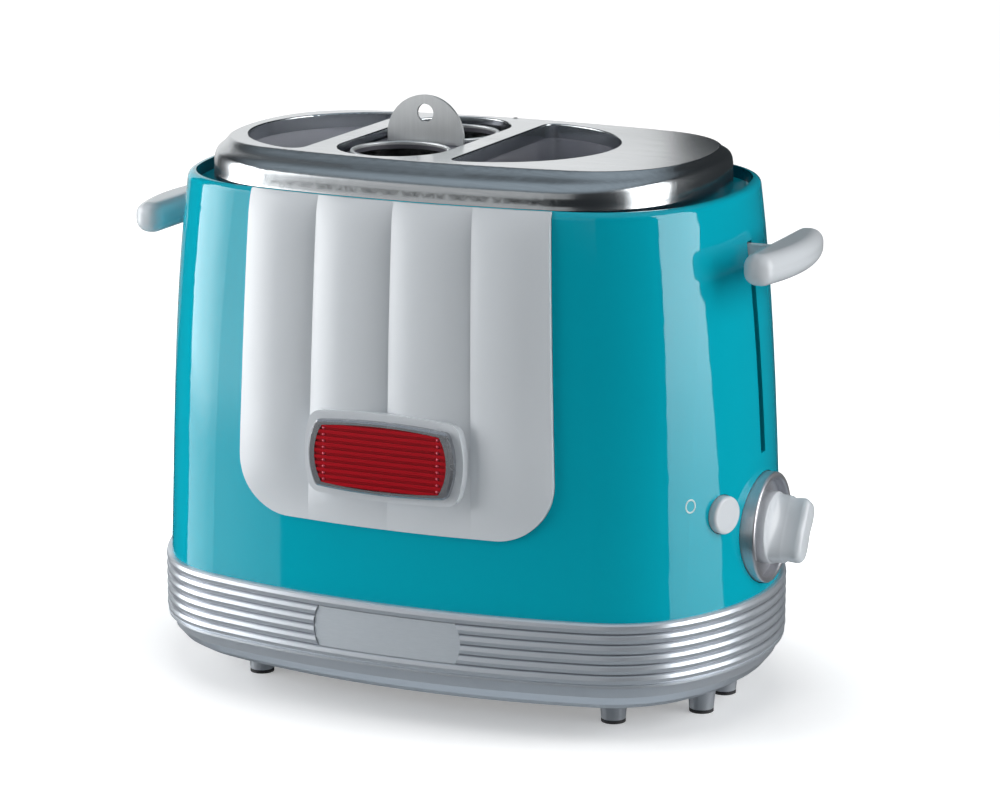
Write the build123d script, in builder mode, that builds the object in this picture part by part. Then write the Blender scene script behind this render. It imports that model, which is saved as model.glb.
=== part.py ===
"""Hot dog maker: beaded base, tapered shell, steel top with three wells, levers, knob and stop button."""
import os
from math import asin, atan2, cos, degrees, radians, sin, sqrt

from build123d import *

os.makedirs("parts", exist_ok=True)

# Fits and cuts
overrun = 2.0
slip = 0.3
seat_gap = 0.1
running_gap = 0.05
quarter_turn = 90.0
full_turn = 360.0

# Base: outline, beads, lip and bowl
base_length = 264.0
base_depth = 170.8
base_outline_shares = (2.7, 1.12, 0.62)
deck_height = 50.8
bead_foot = 26.0
bead_count = 6
bead_shares = ((0.0, 1.0), (0.16, 0.3), (0.5, 0.0), (0.84, 0.3))
groove_depth = 1.0
lip_inset = 0.4
lip_step = 0.4
lip_height = 1.2
bowl_inset = 2.2
bowl_run = 22.0
bowl_bottom = 10.5
bowl_steps = 5
skirt_wall = 2.5
flange_width = 10.0
deck_thickness = 2.5
deck_width = 19.0

# Legs, pads and bottom plate
corner_leg_inset = 52.6
corner_leg_share = 0.7
end_leg_inset = 25.0
end_leg_share = 0.23
leg_top_radius = 6.0
leg_foot_radius = 5.0
pad_thickness = 1.5
bottom_thickness = 2.0
bottom_lap = 8.0
vent_length = 30.0
vent_width = 3.0
vent_rows = 2
vent_columns = 9
vent_pitch_x = 9.0
vent_pitch_y = 38.0
vent_centre_x = -18.0
screw_radius = 1.5
screw_head_radius = 3.0
screw_head_height = 1.6
screw_inset = 70.0
screw_share = 0.86

# Crumb tray and its runners
tray_left = -97.0
tray_right = 61.0
tray_front = -50.0
tray_beads = 5
tray_lift = 0.8
tray_height = 14.0
tray_wall = 1.0
runner_width = 4.0
runner_front = -46.0
runner_length = 88.0
runner_inset = 24.0

# Shell
shell_foot_length = 259.2
shell_foot_depth = 164.8
shell_rim_length = 233.4
shell_rim_depth = 149.0
shell_foot_shares = (2.8, 1.14, 0.62)
shell_rim_shares = (3.6, 1.5, 0.67)
rim_height = 211.0
straight_taper_share = 0.55
shell_wall = 2.2
shell_levels = 6
rim_round = 3.0
rim_wall = 0.5
ledge_height = 206.0
ledge_thickness = 3.0
ledge_lap = 2.5

# Steel top
top_end_gap = 12.0
top_side_gap = 3.2
plate_height = 224.2
plate_inset_x = 4.4
plate_inset_y = 15.4
top_outline_shares = (4.2, 1.7, 0.69)
top_round_shares = ((0.0, 0.0, 0.0), (0.3, 0.02, 0.025), (0.52, 0.06, 0.08), (0.64, 0.14, 0.18),
                    (0.76, 0.36, 0.42), (0.9, 0.72, 0.76), (1.0, 1.0, 1.0))
plate_thickness = 1.0
flange_thickness = 0.8
flange_drop = 5.0
flange_lip = 0.6

# Openings in the top, all centred on one line along the depth
openings_x = -21.0
slot_width = 46.0
slot_length = 104.0
web_width = 10.0
bun_half_length = 50.0
left_bun_depth = 42.0
right_bun_depth = 49.0
bun_corner = 5.0

# Wells
well_wall = 0.8
chassis_thickness = 1.5
chassis_gap = 1.2
window_width = 8.0
window_height = 120.0
window_foot = 22.0
window_pitch = 14.0
drain_radius = 12.0

# Sausage cages and their collar
cage_pitch = 48.0
cage_radius = 19.6
cage_wall = 0.8
cage_floor = 1.0
cage_drain_radius = 6.0
cage_windows = 6
cage_window_width = 10.0
cage_window_height = 110.0
cage_window_foot = 18.0
collar_height = 220.6
collar_thickness = 1.2
mouth_rise = 1.8
mouth_width = 1.4
mouth_round = 0.5
collar_width = 43.2
collar_length = 96.0
tab_radius = 17.0
tab_thickness = 1.5
tab_rise = 3.4
tab_hole_radius = 3.7
tab_hole_rise = 13.0

# Lift: levers, sliders, rods, beam and racks
lever_height = 186.8
lever_travel = 75.0
lever_gap = 0.9
lever_depth = 16.5
lever_bow = 5.5
lever_span = 67.0
lever_thickness = 12.6
lever_corner = 5.7
lever_edge = 5.2
stem_width = 3.8
stem_thickness = 8.0
slot_gap = 0.5
slot_end_gap = 1.0
rod_radius = 2.5
rod_pitch = 28.0
rod_inset = 23.4
rod_top = 200.2
bushing_radius = 5.0
slider_web = 4.0
slider_foot = 140.0
slider_top = 193.0
ear_reach = 27.5
ear_height = 4.0
ear_depth = 8.0
beam_width = 3.0
beam_height = 8.0
rack_thickness = 1.5
rack_gap = 3.0
rack_slot_width = 3.0
rack_slot_pitch = 9.0
rack_slots = 3
rack_edge = 6.0
beam_slot_width = 7.0
beam_slot_gap = 4.0

# Chassis end plates
end_sheet = 1.2
end_width = 60.0
end_gap = 1.6
end_flange_height = 198.0
end_flange_reach = 5.0

# Return springs
spring_y = 24.0
spring_radius = 3.0
spring_wire = 0.7

# Electromagnet and armature on the slider at the control end
armature_near = 28.0
armature_far = 38.0
armature_thickness = 3.0
armature_depth = 10.0
magnet_gap = 0.6
magnet_base = 3.0
magnet_coil_radius = 4.6

# Heater boards
heater_board = 1.0
heater_near = 6.0
heater_far = 42.0
heater_top = 200.0
ribbon_height = 2.0
ribbon_thickness = 0.4
ribbon_rows = 12
ribbon_margin = 14.0
ribbon_edge = 2.0

# Knob
knob_height = 76.2
ring_radius = 22.4
ring_inner_radius = 20.0
ring_face = 131.7
ring_round = 1.0
ring_depth = 12.0
dish_depth = 4.0
dish_thickness = 2.0
disc_radius = 14.6
disc_rise = 4.6
grip_height = 14.5
root_half_length = 11.6
root_half_width = 7.4
root_waist = 2.6
root_crown = 2.4
end_half_length = 11.0
end_half_width = 5.8
end_waist = 0.5
end_crown = 1.8
grip_corner = 2.4
grip_edge = 2.0
grip_turn = -30.0
shaft_radius = 3.0
pot_radius = 8.5
pot_length = 11.0
shaft_engagement = 7.0

# Stop button
button_height = 88.8
button_y = -32.6
button_radius = 7.6
button_proud = 3.0
button_round = 1.2
button_collar_radius = 9.4
button_collar_height = 1.4
button_collar_gap = 1.2
button_stem_radius = 3.0
button_stem_length = 2.2
button_travel = 2.5
switch_side = 6.0
switch_height = 5.0
switch_gap = 0.5
button_spring_radius = 5.7
button_spring_wire = 0.6
board_thickness = 1.6
board_left = 24.0
board_right = 4.0
board_top = 126.0

# Front panel
panel_top_half = 64.4
panel_foot_half = 69.2
panel_foot = 81.2
panel_corner = 23.0
panel_flutes = 4
panel_recess = 1.1
panel_edge = 0.9
panel_crest = 4.2
panel_fit = 0.2
panel_level_shares = ((0.0, 1.0, 0.06), (0.06, 1.0, 0.3), (0.13, 1.0, 0.75), (0.2, 1.0, 1.0),
                      (0.35, 1.0, 1.0), (0.55, 1.0, 1.0), (0.75, 1.0, 1.0), (0.9, 1.0, 0.95),
                      (0.96, 0.7, 0.75), (1.0, -0.5, 0.35))

# Badge and trim plate
badge_height = 111.0
badge_half_length = 31.5
badge_half_height = 14.6
badge_bow = 3.2
badge_side_bow = 1.4
badge_corner = 2.4
badge_end_width = 2.9
badge_side_width = 1.7
badge_thickness = 3.2
badge_floor = 1.6
badge_edge = 0.8
insert_thickness = 1.0
insert_ribs = 10
rib_rise = 0.6
rib_width_share = 0.55
pad_margin = 3.0
pad_rise = 0.4
trim_half_length = 32.0
trim_lowest_bead = 1
trim_beads = 4
trim_bow = 2.2
trim_seat = 1.7
trim_face = 0.8

# Mains entry
gland_x = 88.0
gland_radius = 5.0
gland_flange_radius = 8.0
gland_flange_height = 1.8
gland_bore_radius = 3.4
terminal_x = 83.0
terminal_y = 25.0
terminal_length = 16.0
terminal_width = 14.0
terminal_height = 12.0
terminal_hole_radius = 1.8

# Sizes that follow from those above
bead_pitch = (deck_height - bead_foot) / bead_count
bowl_top = bead_foot - lip_height - lip_step
trim_foot = bead_foot + trim_lowest_bead * bead_pitch
trim_height = trim_beads * bead_pitch
flange_top = bowl_bottom + bottom_thickness
bottom_top = flange_top + bottom_thickness
flange_inset = bowl_inset + bowl_run + flange_width
flange_half_depth = base_depth / 2 - flange_inset + flange_width / 2
chassis_top = deck_height + chassis_thickness
top_length = shell_rim_length - 2 * top_end_gap
top_depth = shell_rim_depth - 2 * top_side_gap
plate_under = plate_height - plate_thickness
well_grow = flange_thickness + slip
well_height = plate_under - chassis_top
left_straight_x = openings_x - slot_width / 2 - web_width
right_straight_x = openings_x + slot_width / 2 + web_width
tray_floor = bead_foot + tray_lift
rod_x = shell_foot_length / 2 - rod_inset
down = (Align.CENTER, Align.CENTER, Align.MAX)
stand = (Align.CENTER, Align.CENTER, Align.MIN)


def oval(half_length, half_depth, outline_shares, mode=Mode.ADD):
    """Draw an oval of eight tangent arcs in the open sketch: bowed sides, bowed ends and round corners."""
    side_share, end_share, corner_share = outline_shares
    side = side_share * half_length
    end = end_share * half_depth
    corner = corner_share * half_depth
    side_centre = Vector(0, side - half_depth)
    end_centre = Vector(half_length - end, 0)
    across = end_centre - side_centre
    along = ((side - corner) ** 2 - (end - corner) ** 2 + across.length ** 2) / (2 * across.length)
    off = sqrt((side - corner) ** 2 - along ** 2)
    unit = across.normalized()
    centre = side_centre + unit * along + Vector(-unit.Y, unit.X) * off
    side_end = side_centre + (centre - side_centre).normalized() * side
    end_start = end_centre + (centre - end_centre).normalized() * end
    bisector = ((side_end - centre).normalized() + (end_start - centre).normalized()).normalized()
    front_right = [side_end, centre + bisector * corner, end_start]
    front_left = [Vector(-point.X, point.Y) for point in front_right]
    back_right = [Vector(point.X, -point.Y) for point in front_right]
    back_left = [Vector(-point.X, -point.Y) for point in front_right]
    with BuildLine() as edge:
        ThreePointArc(front_left[0], (0, -half_depth), front_right[0])
        ThreePointArc(*front_right)
        ThreePointArc(front_right[2], (half_length, 0), back_right[2])
        ThreePointArc(*reversed(back_right))
        ThreePointArc(back_right[0], (0, half_depth), back_left[0])
        ThreePointArc(*back_left)
        ThreePointArc(back_left[2], (-half_length, 0), front_left[2])
        ThreePointArc(*reversed(front_left))
    make_face(edge.edges(), mode=mode)


def oval_stack(levels, outline_shares, ruled=False, mode=Mode.ADD):
    """Loft through ovals; each level is a height, a half length and a half depth."""
    sections = []
    for height, half_length, half_depth in levels:
        with BuildSketch(Plane.XY.offset(height)) as level:
            oval(half_length, half_depth, outline_shares)
        sections.append(level.sketch)
    loft(sections, ruled=ruled, mode=mode)


def base_level(height, inset):
    """One level of the base, drawn in from its widest outline by an inset."""
    return (height, base_length / 2 - inset, base_depth / 2 - inset)


def bowl(foot, top, edge_inset, run):
    """Levels of a quarter-ellipse bowl that rises from its flat foot to its upright edge."""
    turns = [radians(quarter_turn * step / bowl_steps) for step in range(bowl_steps + 1)]
    return [base_level(top - (top - foot) * cos(turn), edge_inset + run * (1 - sin(turn))) for turn in turns]


def beads(count):
    """Levels of a stack of round beads, from the lowest groove up."""
    levels = []
    for bead in range(count):
        for height_share, depth_share in bead_shares:
            level_height = bead_foot + (bead + height_share) * bead_pitch
            levels.append(base_level(level_height, groove_depth * depth_share))
    levels.append(base_level(bead_foot + count * bead_pitch, groove_depth))
    return levels


def shell_shares(height):
    """Outline of the shell at a height: the higher, the flatter its sides and ends."""
    rise = (height - deck_height) / (rim_height - deck_height)
    return [foot + rise ** 2 * (rim - foot) for foot, rim in zip(shell_foot_shares, shell_rim_shares)]


def shell_level(height, inset=0):
    """One level of the shell: it tapers gently at first and faster towards the rim."""
    rise = (height - deck_height) / (rim_height - deck_height)
    taper = straight_taper_share * rise + (1 - straight_taper_share) * rise ** 3
    half_length = (shell_foot_length + taper * (shell_rim_length - shell_foot_length)) / 2
    half_depth = (shell_foot_depth + taper * (shell_rim_depth - shell_foot_depth)) / 2
    return (height, half_length - inset, half_depth - inset)


def shell_stack(foot, top, inset, mode=Mode.ADD):
    """Loft the shell's form between two heights, drawn in by an inset."""
    sections = []
    for step in range(shell_levels):
        height, half_length, half_depth = shell_level(foot + step / (shell_levels - 1) * (top - foot), inset)
        with BuildSketch(Plane.XY.offset(height)) as level:
            oval(half_length, half_depth, shell_shares(height))
        sections.append(level.sketch)
    loft(sections, mode=mode)


def shell_front(x, height):
    """How far the front of the shell lies along the depth at a place on its bowed side."""
    level, half_length, half_depth = shell_level(height)
    side = shell_shares(height)[0] * half_length
    return side - half_depth - sqrt(side ** 2 - x ** 2)


def bun_outline(straight_x, depth, grow, mode=Mode.ADD):
    """Draw a bun opening: a straight side along the depth, closed by an arc, to +X for a positive depth."""
    hand = 1 if depth > 0 else -1
    radius = (bun_half_length ** 2 + depth ** 2) / (2 * abs(depth)) + grow
    centre_x = straight_x + depth - hand * (radius - grow)
    side_x = straight_x - hand * grow
    half = sqrt(radius ** 2 - (side_x - centre_x) ** 2)
    with BuildLine() as edge:
        Line((side_x, half), (side_x, -half))
        ThreePointArc((side_x, -half), (centre_x + hand * radius, 0), (side_x, half))
        fillet(edge.vertices(), radius=bun_corner + grow)
    make_face(edge.edges(), mode=mode)


def slot_outline(grow, mode=Mode.ADD):
    """Draw the round-ended opening for the sausages."""
    with Locations((openings_x, 0)):
        SlotOverall(slot_length + 2 * grow, slot_width + 2 * grow, rotation=quarter_turn, mode=mode)


def openings(grow, mode=Mode.ADD):
    """Draw all three openings of the top, grown evenly."""
    bun_outline(left_straight_x, -left_bun_depth, grow, mode)
    slot_outline(grow, mode)
    bun_outline(right_straight_x, right_bun_depth, grow, mode)


def barrel(half_length, half_height, bow, side_bow=0, corner=0, mode=Mode.ADD):
    """Draw a barrel outline: bowed ends, straight or slightly bowed long edges, sharp or round corners."""
    end_x = half_length - bow
    end_y = half_height - side_bow
    with BuildLine() as edge:
        if side_bow:
            ThreePointArc((-end_x, -end_y), (0, -half_height), (end_x, -end_y))
        else:
            Line((-end_x, -end_y), (end_x, -end_y))
        ThreePointArc((end_x, -end_y), (half_length, 0), (end_x, end_y))
        if side_bow:
            ThreePointArc((end_x, end_y), (0, half_height), (-end_x, end_y))
        else:
            Line((end_x, end_y), (-end_x, end_y))
        ThreePointArc((-end_x, end_y), (-half_length, 0), (-end_x, -end_y))
        if corner:
            fillet(edge.vertices(), radius=corner)
    make_face(edge.edges(), mode=mode)


def trim_form(outer_inset, inner_inset, grow):
    """Build the trim plate's form between two insets of the base's outline, grown evenly in its face."""
    with BuildSketch(Plane.XY.offset(trim_foot - grow)) as ring:
        oval(base_length / 2 - outer_inset, base_depth / 2 - outer_inset, base_outline_shares)
        oval(base_length / 2 - inner_inset, base_depth / 2 - inner_inset, base_outline_shares, Mode.SUBTRACT)
    extrude(ring.sketch, amount=trim_height + 2 * grow)
    with BuildSketch(Plane.XZ.shift_origin((0, 0, trim_foot + trim_height / 2))) as face:
        barrel(trim_half_length + grow, trim_height / 2 + grow, trim_bow)
    extrude(face.sketch, amount=base_depth, mode=Mode.INTERSECT)


# Pocket for the trim plate in the front of the base
with BuildPart() as trim_pocket:
    trim_form(-overrun, trim_seat, panel_fit)

# Base skirt: beads over a bowl, hollow inside, with a deck on top, a flange below and moulded legs
corner_leg_x = base_length / 2 - corner_leg_inset
corner_leg_y = corner_leg_share * flange_half_depth
end_leg_x = base_length / 2 - end_leg_inset
end_leg_y = end_leg_share * flange_half_depth
screw_x = base_length / 2 - screw_inset
screw_y = screw_share * flange_half_depth
leg_places = [(x, y) for x in (-corner_leg_x, corner_leg_x) for y in (-corner_leg_y, corner_leg_y)]
leg_places += [(end_leg_x, -end_leg_y), (end_leg_x, end_leg_y)]
screw_places = [(x, y) for x in (-screw_x, screw_x) for y in (-screw_y, screw_y)]
lip_levels = [base_level(bowl_top + lip_step, lip_inset), base_level(bead_foot - lip_step, lip_inset)]
inner_inset = groove_depth + skirt_wall
with BuildPart() as base_skirt:
    oval_stack(bowl(bowl_bottom, bowl_top, bowl_inset, bowl_run) + lip_levels + beads(bead_count),
               base_outline_shares, ruled=True)
    with Locations(*[(x, y, pad_thickness) for x, y in leg_places]):
        Cone(leg_foot_radius, leg_top_radius, flange_top - pad_thickness, align=stand)
    oval_stack(bowl(flange_top, bowl_top, bowl_inset + skirt_wall, bowl_run - skirt_wall)
               + [base_level(deck_height - deck_thickness, inner_inset + bowl_inset)],
               base_outline_shares, ruled=True, mode=Mode.SUBTRACT)
    with BuildSketch(Plane.XY.offset(deck_height)):
        oval(base_length / 2 - deck_width, base_depth / 2 - deck_width, base_outline_shares)
    extrude(amount=-deck_thickness - overrun, mode=Mode.SUBTRACT)
    with BuildSketch(Plane.XY.offset(bowl_bottom - overrun)):
        oval(base_length / 2 - flange_inset, base_depth / 2 - flange_inset, base_outline_shares)
    extrude(amount=bottom_thickness + 2 * overrun, mode=Mode.SUBTRACT)
    with Locations(((tray_left + tray_right) / 2, 0, bead_foot)):
        Box(tray_right - tray_left + 2 * slip, base_depth, tray_beads * bead_pitch,
            align=(Align.CENTER, Align.MIN, Align.MIN), mode=Mode.SUBTRACT)
    with Locations(*[(x, y, bowl_bottom) for x, y in screw_places]):
        Hole(screw_radius + slip, depth=2 * bottom_thickness)
    add(trim_pocket.part, mode=Mode.SUBTRACT)
base_skirt.part.label = "base_skirt"
export_step(base_skirt.part, "parts/base_skirt.step")

# Foot pads under the legs
with BuildPart() as foot_pads:
    with BuildSketch():
        with Locations(*leg_places):
            Circle(leg_foot_radius)
    extrude(amount=pad_thickness)
foot_pads.part.label = "foot_pads"
export_step(foot_pads.part, "parts/foot_pads.step")

# Bottom plate with vents, tray runners and the hole for the gland
plate_inset = flange_inset - bottom_lap
runner_places = (tray_left + runner_inset, tray_right - runner_inset)
with BuildPart() as bottom_plate:
    with BuildSketch(Plane.XY.offset(flange_top)):
        oval(base_length / 2 - plate_inset, base_depth / 2 - plate_inset, base_outline_shares)
        with Locations((vent_centre_x, 0)):
            with GridLocations(vent_pitch_x, vent_pitch_y, vent_columns, vent_rows):
                SlotOverall(vent_length, vent_width, rotation=quarter_turn, mode=Mode.SUBTRACT)
        with Locations((gland_x, 0)):
            Circle(gland_radius + running_gap, mode=Mode.SUBTRACT)
        with Locations(*screw_places):
            Circle(screw_radius + slip, mode=Mode.SUBTRACT)
    extrude(amount=bottom_thickness)
    with Locations(*[(x, runner_front, bottom_top) for x in runner_places]):
        Box(runner_width, runner_length, tray_floor - bottom_top, align=(Align.CENTER, Align.MIN, Align.MIN))
bottom_plate.part.label = "bottom_plate"
export_step(bottom_plate.part, "parts/bottom_plate.step")

# Screws that hold the bottom plate to the flange
with BuildPart() as screws:
    with Locations(*[(x, y, bowl_bottom) for x, y in screw_places]):
        Cylinder(screw_head_radius, screw_head_height, align=down)
        Cylinder(screw_radius, 2 * bottom_thickness, align=stand)
screws.part.label = "screws"
export_step(screws.part, "parts/screws.step")

# Crumb tray: a pan whose back is a piece of the beaded skirt
tray_middle = (tray_left + tray_right) / 2
tray_width = tray_right - tray_left
with BuildPart() as crumb_tray:
    oval_stack(beads(tray_beads), base_outline_shares, ruled=True)
    with BuildSketch(Plane.XY.offset(bead_foot - overrun)):
        oval(base_length / 2 - inner_inset, base_depth / 2 - inner_inset, base_outline_shares)
    extrude(amount=tray_beads * bead_pitch + 2 * overrun, mode=Mode.SUBTRACT)
    with BuildSketch(Plane.XY.offset(bead_foot + slip)):
        with Locations((tray_middle, 0)):
            Rectangle(tray_width, base_depth, align=(Align.CENTER, Align.MIN))
    extrude(amount=tray_beads * bead_pitch - 2 * slip, mode=Mode.INTERSECT)
    with BuildSketch(Plane.XY.offset(tray_floor)):
        with Locations((tray_middle, tray_front)):
            Rectangle(tray_width, base_depth, align=(Align.CENTER, Align.MIN))
        oval(base_length / 2 - bowl_inset, base_depth / 2 - bowl_inset, base_outline_shares, Mode.INTERSECT)
    extrude(amount=tray_height)
    with BuildSketch(Plane.XY.offset(tray_floor + tray_wall)):
        with Locations((tray_middle, tray_front + tray_wall)):
            Rectangle(tray_width - 2 * tray_wall, base_depth, align=(Align.CENTER, Align.MIN))
        oval(base_length / 2 - inner_inset, base_depth / 2 - inner_inset, base_outline_shares, Mode.INTERSECT)
    extrude(amount=tray_height, mode=Mode.SUBTRACT)
crumb_tray.part.label = "crumb_tray"
export_step(crumb_tray.part, "parts/crumb_tray.step")

# Places on the control end of the shell
button_level = shell_level(button_height)
end_radius = shell_shares(button_height)[1] * button_level[2]
button_angle = asin(-button_y / end_radius)
button_x = button_level[1] - end_radius * (1 - cos(button_angle))
button_plane = Plane(origin=(button_x, button_y, button_height),
                     z_dir=(cos(button_angle), -sin(button_angle), 0),
                     x_dir=(sin(button_angle), cos(button_angle), 0))
knob_plane = Plane(origin=(ring_face, 0, knob_height), z_dir=(1, 0, 0), x_dir=(0, 1, 0))
slot_foot = lever_height - lever_travel - stem_thickness / 2 - slot_end_gap
slot_top = lever_height + stem_thickness / 2 + slot_end_gap


def panel_half(height):
    """Half the width of the front panel at a height."""
    rise = (height - panel_foot) / (rim_height - panel_foot)
    return panel_foot_half + rise * (panel_top_half - panel_foot_half)


def panel_outline(grow):
    """Draw the panel's outline as seen from the front: a tapered tongue with round lower corners."""
    foot = panel_foot - grow
    foot_half = panel_foot_half + grow
    top_half = panel_top_half + grow
    with BuildLine() as edge:
        Polyline((-top_half, rim_height), (-foot_half, foot), (foot_half, foot), (top_half, rim_height),
                 close=True)
        fillet(edge.vertices().group_by(Axis.Y)[0], radius=panel_corner + grow)
    make_face(edge.edges())


def panel_stack(crest, back):
    """Loft the panel's fluted form between its back, set into the shell, and its bowed flutes."""
    sections = []
    for height_share, edge_share, crest_share in panel_level_shares:
        height = panel_foot + height_share * (rim_height - panel_foot)
        half = panel_half(height) + overrun
        edges = [half * (2 * flute / panel_flutes - 1) for flute in range(panel_flutes + 1)]
        edge_proud = edge_share * panel_edge
        proud = edge_proud + crest_share * (crest - panel_edge)
        with BuildSketch(Plane.XY.offset(height)) as level:
            with BuildLine() as edge:
                for start, end in zip(edges, edges[1:]):
                    middle = (start + end) / 2
                    ThreePointArc((start, shell_front(start, height) - edge_proud),
                                  (middle, shell_front(middle, height) - proud),
                                  (end, shell_front(end, height) - edge_proud))
                back_side = shell_front(half, height) + back
                Line((half, shell_front(half, height) - edge_proud), (half, back_side))
                ThreePointArc((half, back_side), (0, shell_front(0, height) + back), (-half, back_side))
                Line((-half, back_side), (-half, shell_front(half, height) - edge_proud))
            make_face(edge.edges())
        sections.append(level.sketch)
    loft(sections)


# Front panel: pillow flutes that fade out at both ends, with a flat pad for the badge
badge_lean = degrees(atan2(shell_front(0, badge_height + badge_half_height) - shell_front(0, badge_height
                           - badge_half_height), 2 * badge_half_height))
pad_front = shell_front(0, badge_height) - panel_crest - pad_rise
badge_plane = Plane(origin=(0, pad_front, badge_height), x_dir=(1, 0, 0),
                    z_dir=(0, -cos(radians(badge_lean)), sin(radians(badge_lean))))


with BuildPart() as front_panel:
    panel_stack(panel_crest, panel_recess - seat_gap)
    with BuildSketch(badge_plane):
        barrel(badge_half_length + pad_margin, badge_half_height + pad_margin, badge_bow, badge_side_bow,
               badge_corner + pad_margin)
    extrude(amount=-panel_crest - pad_rise)
    with BuildSketch(Plane.XZ):
        panel_outline(0)
    extrude(amount=base_depth, mode=Mode.INTERSECT)
front_panel.part.label = "front_panel"
export_step(front_panel.part, "parts/front_panel.step")

# Badge frame with its ribbed insert
insert_corner = badge_corner - badge_side_width
with BuildPart() as badge_frame:
    with BuildSketch(badge_plane):
        barrel(badge_half_length, badge_half_height, badge_bow, badge_side_bow, badge_corner)
    extrude(amount=badge_thickness)
    chamfer(badge_frame.faces().sort_by(Axis.Y)[0].edges(), length=badge_edge)
    with BuildSketch(badge_plane.offset(badge_floor)):
        barrel(badge_half_length - badge_end_width, badge_half_height - badge_side_width, badge_bow,
               badge_side_bow, insert_corner)
    extrude(amount=badge_thickness, mode=Mode.SUBTRACT)
badge_frame.part.label = "badge_frame"
export_step(badge_frame.part, "parts/badge_frame.step")

insert_length = badge_half_length - badge_end_width - seat_gap
insert_height = badge_half_height - badge_side_width - seat_gap
rib_pitch = 2 * insert_height / insert_ribs
with BuildPart() as badge_insert:
    with BuildSketch(badge_plane.offset(badge_floor)):
        barrel(insert_length, insert_height, badge_bow, badge_side_bow, insert_corner)
    extrude(amount=insert_thickness)
    with BuildSketch(badge_plane.offset(badge_floor + insert_thickness)):
        with GridLocations(0, rib_pitch, 1, insert_ribs):
            Rectangle(2 * insert_length, rib_pitch * rib_width_share)
        barrel(insert_length, insert_height, badge_bow, badge_side_bow, insert_corner, Mode.INTERSECT)
    extrude(amount=rib_rise)
badge_insert.part.label = "badge_insert"
export_step(badge_insert.part, "parts/badge_insert.step")

# Shell: tapered and hollow, with a ledge inside its rim and openings for levers, knob, button and panel
with BuildPart() as body_shell:
    shell_stack(deck_height, rim_height, 0)
    fillet(body_shell.faces().sort_by(Axis.Z)[-1].edges(), radius=rim_round)
    shell_stack(deck_height, ledge_height - ledge_thickness, shell_wall, Mode.SUBTRACT)
    rim_inset = rim_round + rim_wall
    with BuildSketch(Plane.XY.offset(ledge_height)):
        oval(shell_rim_length / 2 - rim_inset, top_depth / 2 + slip, top_outline_shares)
    extrude(amount=rim_height - ledge_height + overrun, mode=Mode.SUBTRACT)
    with BuildSketch(Plane.XY.offset(ledge_height - ledge_thickness - overrun)):
        oval(top_length / 2 - ledge_lap, top_depth / 2 - ledge_lap, top_outline_shares)
    extrude(amount=ledge_thickness + 2 * overrun, mode=Mode.SUBTRACT)
    with Locations((0, 0, (slot_foot + slot_top) / 2)):
        Box(base_length, stem_width + 2 * slot_gap, slot_top - slot_foot, mode=Mode.SUBTRACT)
    with BuildSketch(knob_plane):
        Circle(ring_radius + slip)
    extrude(amount=-ring_radius, mode=Mode.SUBTRACT)
    with BuildSketch(button_plane.offset(overrun)):
        Circle(button_radius + slip)
    extrude(amount=-shell_wall - 2 * overrun, mode=Mode.SUBTRACT)
body_shell.part.label = "body_shell"

# The panel sits in a shallow recess of the shell, a little larger than itself
with BuildPart() as panel_recess_form:
    panel_stack(panel_crest, panel_recess)
    with BuildSketch(Plane.XZ):
        panel_outline(panel_fit)
    extrude(amount=base_depth, mode=Mode.INTERSECT)
with BuildPart() as shell_with_recess:
    add(body_shell.part)
    add(panel_recess_form.part, mode=Mode.SUBTRACT)
shell_with_recess.part.label = "body_shell"
export_step(shell_with_recess.part, "parts/body_shell.step")

# Trim plate, bare, let into the front of the base
with BuildPart() as trim_plate:
    trim_form(trim_face, trim_seat - seat_gap, 0)
trim_plate.part.label = "trim_plate"
export_step(trim_plate.part, "parts/trim_plate.step")


def top_levels(inset):
    """Levels of the steel top's shoulder, from the upright skirt to the flat plate."""
    levels = []
    for height_share, x_share, y_share in top_round_shares:
        height = rim_height + height_share * (plate_height - rim_height) - inset
        levels.append((height, top_length / 2 - x_share * plate_inset_x - inset,
                       top_depth / 2 - y_share * plate_inset_y - inset))
    return levels


# Steel top: pressed shoulder, flat plate, openings with turned-down flanges
with BuildPart() as top_bezel:
    oval_stack(top_levels(0), top_outline_shares)
    with BuildSketch(Plane.XY.offset(ledge_height)):
        oval(top_length / 2, top_depth / 2, top_outline_shares)
    extrude(amount=rim_height - ledge_height)
    oval_stack(top_levels(plate_thickness), top_outline_shares, mode=Mode.SUBTRACT)
    with BuildSketch(Plane.XY.offset(ledge_height - overrun)):
        oval(top_length / 2 - plate_thickness, top_depth / 2 - plate_thickness, top_outline_shares)
    extrude(amount=rim_height - plate_thickness - ledge_height + overrun, mode=Mode.SUBTRACT)
    with BuildSketch(Plane.XY.offset(plate_under - flange_drop)):
        openings(flange_thickness)
    extrude(amount=flange_drop)
    with BuildSketch(Plane.XY.offset(plate_under - flange_drop - overrun)):
        openings(0)
    extrude(amount=flange_drop + plate_thickness + 2 * overrun, mode=Mode.SUBTRACT)
    plate_face = top_bezel.faces().sort_by(Axis.Z)[-1]
    fillet(plate_face.inner_wires().edges(), radius=flange_lip)
top_bezel.part.label = "top_bezel"
export_step(top_bezel.part, "parts/top_bezel.step")

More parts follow.
